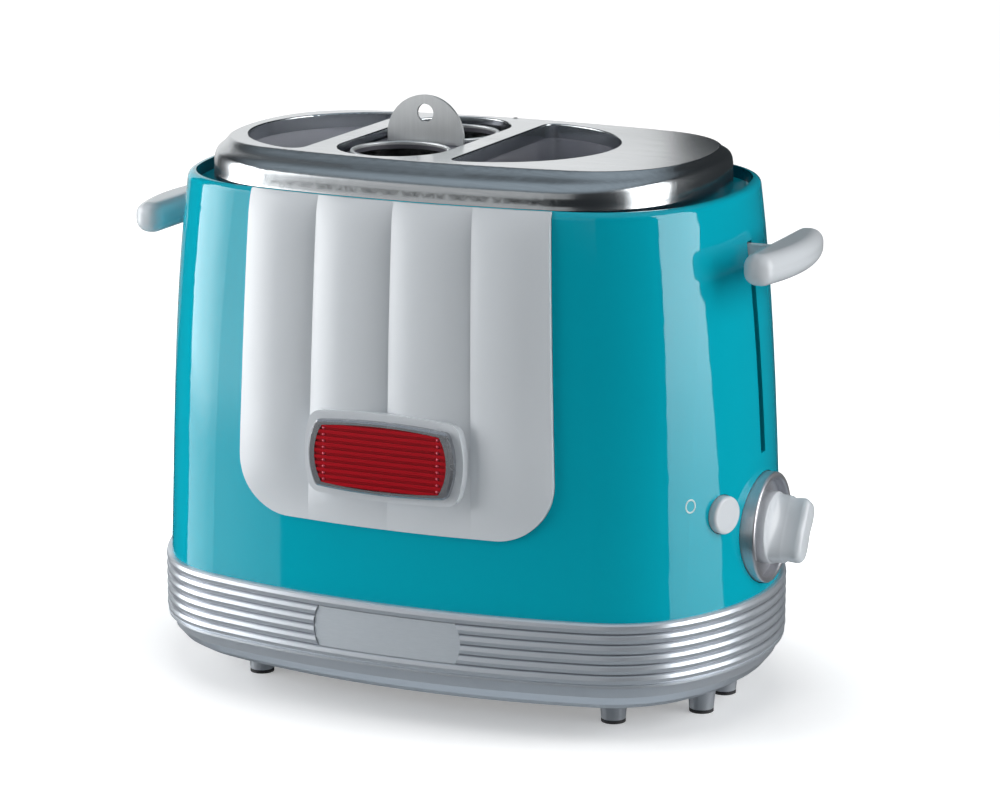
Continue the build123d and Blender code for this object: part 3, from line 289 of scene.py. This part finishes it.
# A darker copy of the same liner, with more metal and less diffuse light, paints shade in the right bun well
# and the sausage well.
shaded_liner = lining("shaded_liner", metallic=0.84)
chrome = cage_chrome()
frame_metal = badge_metal()
board = circuit_board()
rubber = plain("rubber", (0.02, 0.02, 0.022), (0.035, 0.035, 0.037), roughness=0.7, drift=60.0,
               grain=1500.0, relief=0.00005, strength=0.6)
black = plain("black", (0.02, 0.02, 0.022), (0.03, 0.03, 0.033), roughness=0.45, drift=40.0,
              grain=1800.0, relief=0.00004)
mica = plain("mica", (0.52, 0.46, 0.34), (0.36, 0.3, 0.2), roughness=0.5, drift=90.0,
             grain=400.0, relief=0.00005, detail=6.0)
iron = plain("iron", (0.14, 0.14, 0.14), (0.22, 0.21, 0.2), roughness=0.5, drift=200.0,
             grain=700.0, relief=0.00004, strength=0.6, metallic=0.9, detail=5.0)
ivory = plain("ivory", (0.6, 0.59, 0.55), (0.54, 0.53, 0.48), roughness=0.45, drift=60.0,
              grain=1200.0, relief=0.00003)
ink = plain("ink", (0.55, 0.72, 0.72), (0.62, 0.78, 0.78), roughness=0.3, drift=400.0,
            grain=1500.0, relief=0.00001, strength=0.4)

finish = {
    "base_skirt": silver, "crumb_tray": silver, "trim_plate": plate, "foot_pads": rubber,
    "cord_gland": rubber, "bottom_plate": black, "stop_switch": black, "timer_pot": black,
    "body_shell": turquoise, "front_panel": white, "badge_frame": frame_metal, "badge_insert": red,
    "lever_left": white, "lever_right": white, "knob": white, "knob_ring": pewter, "stop_button": white,
    "top_bezel": steel, "bun_well_left": liner, "bun_well_right": shaded_liner, "sausage_well": shaded_liner,
    "sausage_cage_front": chrome, "sausage_cage_back": chrome, "basket_collar": satin,
    "heater_boards": mica, "heater_ribbons": iron, "electromagnet": copper, "armature": iron,
    "control_board": board, "terminal_block": ivory,
}
for name, node in nodes.items():
    node.data.materials.clear()
    node.data.materials.append(finish.get(name, sheet).material)


# Tools for small pieces

def piece(name, points, faces, material, body):
    """A smooth mesh piece that rides on a body."""
    mesh = bpy.data.meshes.new(name)
    mesh.from_pydata(points, [], faces)
    mesh.shade_smooth()
    mesh.materials.append(material.material)
    made = bpy.data.objects.new(name, mesh)
    scene.collection.objects.link(made)
    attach(made, body)
    return made


def band(low, high, count):
    """Faces between two closed rows of count points, given by each row's first point."""
    faces = []
    for step in range(count):
        after = (step + 1) % count
        faces.append((low + step, low + after, high + after, high + step))
    return faces


def skin(rows, count, first=0):
    """Faces between closed rows of count points each, closed by a face at both ends."""
    last = first + (rows - 1) * count
    faces = [list(reversed(range(first, first + count))), list(range(last, last + count))]
    for low in range(first, last, count):
        faces.extend(band(low, low + count, count))
    return faces


def quarter(steps):
    """Sine and cosine at each step of a quarter turn after its start."""
    bends = [step / steps * quarter_turn for step in range(1, steps + 1)]
    return [(math.sin(bend), math.cos(bend)) for bend in bends]


def circle(steps):
    """Cosine and sine at even steps round a full turn."""
    angles = [step / steps * full_turn for step in range(steps)]
    return [(math.cos(angle), math.sin(angle)) for angle in angles]


def touch(name, start, direction):
    """Where a ray from outside meets a node, and the node's normal there."""
    node = nodes[name]
    inverse = node.matrix_world.inverted()
    found, place, normal, _ = node.ray_cast(inverse @ start, (inverse.to_3x3() @ direction).normalized())
    assert found, name
    return node.matrix_world @ place, (node.matrix_world.to_3x3() @ normal).normalized()


def domes(name, places, radius, rise, material, body):
    """Small round domes on a surface, each at a place with a normal, with their rims sunk in."""
    around = 16
    rows = 6
    top_bend = 0.94 * quarter_turn
    sunk = 0.0001
    points = []
    faces = []
    for place, normal in places:
        side = normal.orthogonal().normalized()
        other = normal.cross(side)
        faces.extend(skin(rows, around, len(points)))
        for row in range(rows):
            bend = row / (rows - 1) * top_bend
            height = rise * math.sin(bend) - sunk
            for cosine, sine in circle(around):
                spread = (side * cosine + other * sine) * radius * math.cos(bend)
                points.append(place + spread + normal * height)
    return piece(name, points, faces, material, body)


# Knob: the grip turned as photographed, coved out of its disc

knob_x = 0.1317
knob_z = 0.0762
grip_turn = math.radians(31)
disc_radius = 0.0146
disc_foot = -0.0037
disc_face = 0.0014
disc_edge = 0.0006
disc_edge_steps = 4
cove = 0.0062
cove_steps = 12
grip_half_width = 0.0062
grip_half_length = 0.0138
grip_width_draft = 0.0004
grip_length_draft = 0.0010
grip_squareness = 4
grip_top = 0.0145
grip_edge = 0.0026
grip_edge_steps = 7
grip_steps = 128


def grip_reach(cosine, sine, share):
    """The grip's outline in one direction, drawn in a little towards its end."""
    across = abs(cosine / (grip_half_width - grip_width_draft * share))
    along = abs(sine / (grip_half_length - grip_length_draft * share))
    return (across ** grip_squareness + along ** grip_squareness) ** (-1 / grip_squareness)


# Each level has a height, how far it is drawn in, and how far it flares from the grip out to the disc.
# A level that doesn't flare is drawn in from the grip, and any other from the disc.
disc_shoulder = disc_face - disc_edge
grip_shoulder = grip_top - grip_edge
levels = [(disc_foot, 0, 1), (disc_shoulder, 0, 1)]
for sine, cosine in quarter(disc_edge_steps):
    levels.append((disc_shoulder + disc_edge * sine, disc_edge * (1 - cosine), 1))
for sine, cosine in quarter(cove_steps):
    levels.append((disc_face + cove * (1 - cosine), disc_edge, 1 - sine))
levels.append((grip_shoulder, 0, 0))
for sine, cosine in quarter(grip_edge_steps):
    levels.append((grip_shoulder + grip_edge * sine, grip_edge * (1 - cosine), 0))

turn_cosine = math.cos(grip_turn)
turn_sine = math.sin(grip_turn)
knob_points = []
for height, drawn, flare in levels:
    share = max(0, (height - disc_face) / (grip_top - disc_face))
    for cosine, sine in circle(grip_steps):
        grip = grip_reach(cosine, sine, share)
        reach = grip - drawn if flare == 0 else grip + (disc_radius - drawn - grip) * flare
        across = reach * cosine
        along = reach * sine
        knob_points.append((knob_x + height, across * turn_cosine + along * turn_sine,
                            knob_z - across * turn_sine + along * turn_cosine))
knob_grip = piece("knob_grip", knob_points, skin(len(levels), grip_steps), white, "knob")
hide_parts("knob")

# Off mark: a ring printed on the shell beside the button
bpy.context.view_layer.update()
mark_start = Vector((0.16, -0.0672, 0.095))
mark_aim = Vector((-0.92, 0.39, 0))
mark_outer = 0.00288
mark_inner = 0.00216
mark_width_share = 0.9
mark_sunk = -0.0001
mark_proud = 0.00006
mark_ray_start = 0.01
mark_steps = 64
mark_rows = ((mark_outer, mark_sunk), (mark_outer, mark_proud),
             (mark_inner, mark_proud), (mark_inner, mark_sunk))
mark_place, mark_normal = touch("body_shell", mark_start, mark_aim)
mark_side = Vector((0, 0, 1)).cross(mark_normal).normalized()
mark_rise = mark_normal.cross(mark_side)
mark_points = []
mark_faces = []
for row, (radius, lift) in enumerate(mark_rows):
    for cosine, sine in circle(mark_steps):
        start = mark_place + mark_side * radius * mark_width_share * cosine + mark_rise * radius * sine
        place, _ = touch("body_shell", start + mark_normal * mark_ray_start, -mark_normal)
        mark_points.append(place + mark_normal * lift)
    after = (row + 1) % len(mark_rows)
    mark_faces.extend(band(row * mark_steps, after * mark_steps, mark_steps))
piece("off_mark", mark_points, mark_faces, ink, "housing")

# Domes at both ends of the badge's insert, one in each groove between its ribs: they catch the lamps'
# highlights, and their light pink is a painted highlight for the glints on the insert's curved ends
low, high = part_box("badge_insert")
insert_ribs = 10
bead_inset = 0.0038
bead_radius = 0.0007
bead_rise = 0.0005
before_badge = -0.2
bead_places = []
for x in (low[0] + bead_inset, high[0] - bead_inset):
    # Painted highlight: each dome is light pink so that it reads as a glint.
    for groove in range(1, insert_ribs):
        z = low[2] + groove / insert_ribs * (high[2] - low[2])
        bead_places.append(touch("badge_insert", Vector((x, before_badge, z)), Vector((0, 1, 0))))
domes("badge_glint_beads", bead_places, bead_radius, bead_rise, glint_pink, "housing")

# Rivet at the back of the top
rivet_start = Vector((-0.0059, 0.0559, 0.3))
rivet_radius = 0.0011
rivet_rise = 0.0004
rivet_place = touch("top_bezel", rivet_start, Vector((0, 0, -1)))
domes("rivet", [rivet_place], rivet_radius, rivet_rise, sheet, "housing")


# Floor and light

def flat(name, corners):
    """A single face that belongs to the studio."""
    mesh = bpy.data.meshes.new(name)
    mesh.from_pydata(corners, [], [(0, 1, 2, 3)])
    made = bpy.data.objects.new(name, mesh)
    scene.collection.objects.link(made)
    return made


def softbox(name, start, end, foot, top, radiance, low, high, share, taper=None):
    """A tall soft panel of light over two floor points, dimmed to a share of itself from high down to low.

    A taper of two x values and a share also dims it sideways, from the first to the second.
    """
    panel = flat(name, [(*start, foot), (*end, foot), (*end, top), (*start, top)])
    material = bpy.data.materials.new(name)
    material.use_nodes = True
    graph = Graph(material.node_tree)
    graph.tree.nodes.clear()
    place = graph.add("TexCoord").outputs["Object"]
    strength = graph.ramp(graph.axis(place, "Z"), radiance * share, radiance, low, high, "SMOOTHSTEP")
    if taper:
        taper_start, taper_end, taper_share = taper
        fade = graph.ramp(graph.axis(place, "X"), 1, taper_share, taper_start, taper_end, "SMOOTHSTEP")
        strength = graph.work("MULTIPLY", strength, fade)
    glow = graph.feed(graph.add("Emission"), {"Strength": strength})
    graph.feed(graph.add("OutputMaterial"), {"Surface": glow.outputs["Emission"]})
    panel.data.materials.append(material)
    panel.visible_camera = False
    panel.visible_shadow = False
    return panel


def lamp(name, place, energy):
    """A round soft light aimed at the part, which no gloss mirrors."""
    lamp_size = 0.8
    data = bpy.data.lights.new(name, "AREA")
    data.shape = "DISK"
    data.size = lamp_size
    data.energy = energy
    made = bpy.data.objects.new(name, data)
    made.matrix_world = Matrix.Translation(place) @ place.to_track_quat("Z", "Y").to_matrix().to_4x4()
    made.visible_glossy = False
    scene.collection.objects.link(made)


# Floor: pale near the part and dark far off as a painted falloff of light, whitened for the camera alone by a
# glow that fades under the part into a painted shadow
paper_white = (1, 1, 1, 1)
floor_half = 8
floor_pale = (0.85, 0.85, 0.85)
painted_falloff_dark = (0.03, 0.03, 0.03)
pale_reach = 0.25
dark_reach = 1.2
glow_squash = (0.65, 1, 1)
glow_near = 0.3
glow_far = 1.0
glow_start = 0.085
glow_end = 0.16
floor = flat("floor", [(-floor_half, -floor_half, 0), (floor_half, -floor_half, 0),
                       (floor_half, floor_half, 0), (-floor_half, floor_half, 0)])
floor_mat = Mat("floor", floor_pale, roughness=0.5)
# Painted shade: the floor darkens with distance from the part, standing in for the light falling off.
floor_mat.mottle(floor_mat.measure("LENGTH", floor_mat.place), painted_falloff_dark, pale_reach, dark_reach)
floor_reach = floor_mat.measure("LENGTH", floor_mat.stretch(floor_mat.place, glow_squash))
# Painted shadow: the glow is low at the part's outline and rises to full a little way out.
painted_shadow_glow = floor_mat.ramp(floor_reach, glow_near, glow_far, glow_start, glow_end)
floor_seen = floor_mat.add("LightPath").outputs["Is Camera Ray"]
floor_mat.feed(floor_mat.shader, {"Emission Color": paper_white,
                                  "Emission Strength": floor_mat.work("MULTIPLY", floor_seen, painted_shadow_glow)})
floor.data.materials.append(floor_mat.material)
floor.visible_glossy = False

# World: white behind the part, dim bluish light from all round, and for gloss a glow overhead and below
bluish = (0.78, 0.9, 1.0, 1)
diffuse_strength = 0.13
ceiling_start = 0.55
ceiling_end = 0.9
ceiling_dim = 0.03
ceiling_bright = 0.5
world = bpy.data.worlds.new("studio")
scene.world = world
world.use_nodes = True
studio = Graph(world.node_tree)
path = studio.add("LightPath")
steepness = studio.work("ABSOLUTE", studio.axis(studio.add("TexCoord").outputs["Generated"], "Z"))
ceiling = studio.ramp(steepness, ceiling_dim, ceiling_bright, ceiling_start, ceiling_end)
strength = studio.ramp(path.outputs["Is Glossy Ray"], diffuse_strength, ceiling, 0, 1)
around = world.node_tree.nodes["Background"]
studio.feed(around, {"Color": bluish, "Strength": strength})
behind = studio.feed(studio.add("Background"), {"Color": paper_white})
blend = studio.add("MixShader")
studio.feed(blend, {"Fac": path.outputs["Is Camera Ray"], 1: around.outputs["Background"],
                    2: behind.outputs["Background"]})
studio.feed(world.node_tree.nodes["World Output"], {"Surface": blend.outputs["Shader"]})

# Panels of light, of which the front and brow ones are only mirrored, and two lamps that are never mirrored
softbox("left_box", start=(-1.57, 0.0), end=(-1.03, -1.13), foot=-0.45, top=1.25, radiance=5.3,
        low=-0.19, high=-0.09, share=0.42, taper=(-1.35, -1.03, 0.35))
softbox("right_box", start=(1.4, -0.41), end=(1.4, 0.61), foot=-0.35, top=1.4, radiance=4.6,
        low=-0.35, high=0.15, share=0.25)
softbox("back_box", start=(-0.69, 2.0), end=(-3.2, 2.0), foot=-0.5, top=1.6, radiance=1.02,
        low=-0.5, high=0.3, share=0.25)
front_box = softbox("front_box", start=(-0.1, -1.42), end=(-1.0, -1.1), foot=-0.25, top=1.4, radiance=0.55,
                    low=-0.25, high=0.22, share=0.05)
front_box.visible_diffuse = False
brow_box = softbox("brow_box", start=(0.5, -1.4), end=(-0.1, -1.42), foot=0.12, top=1.4, radiance=0.4,
                   low=0.12, high=0.3, share=0.1)
brow_box.visible_diffuse = False
lamp("fill", Vector((0.3, -0.7, 1.7)), energy=4.4)
lamp("key", Vector((-1.3, -0.95, 0.35)), energy=6.5)

# Camera: where the photograph was taken from, aimed a little beside the part's middle to frame it alike
turn = math.radians(24.556)
rise = math.radians(13.897)
distance = 1.4493
lens = 126.54
sensor_width = 36.0
middle = Vector((0, 0, 0.11))
aim_across = 0.010961
aim_upward = 0.003084
across = Vector((math.cos(turn), math.sin(turn), 0))
back = Vector((math.sin(turn) * math.cos(rise), -math.cos(turn) * math.cos(rise), math.sin(rise)))
upward = back.cross(across)
eye = middle + back * distance
aim = middle + across * aim_across + upward * aim_upward
camera_data = bpy.data.cameras.new("camera")
camera_data.lens = lens
camera_data.sensor_width = sensor_width
camera = bpy.data.objects.new("camera", camera_data)
scene.collection.objects.link(camera)
camera.matrix_world = Matrix.Translation(eye) @ (eye - aim).to_track_quat("Z", "Y").to_matrix().to_4x4()
scene.camera = camera
scene.view_settings.view_transform = "Standard"
scene.view_settings.look = "None"
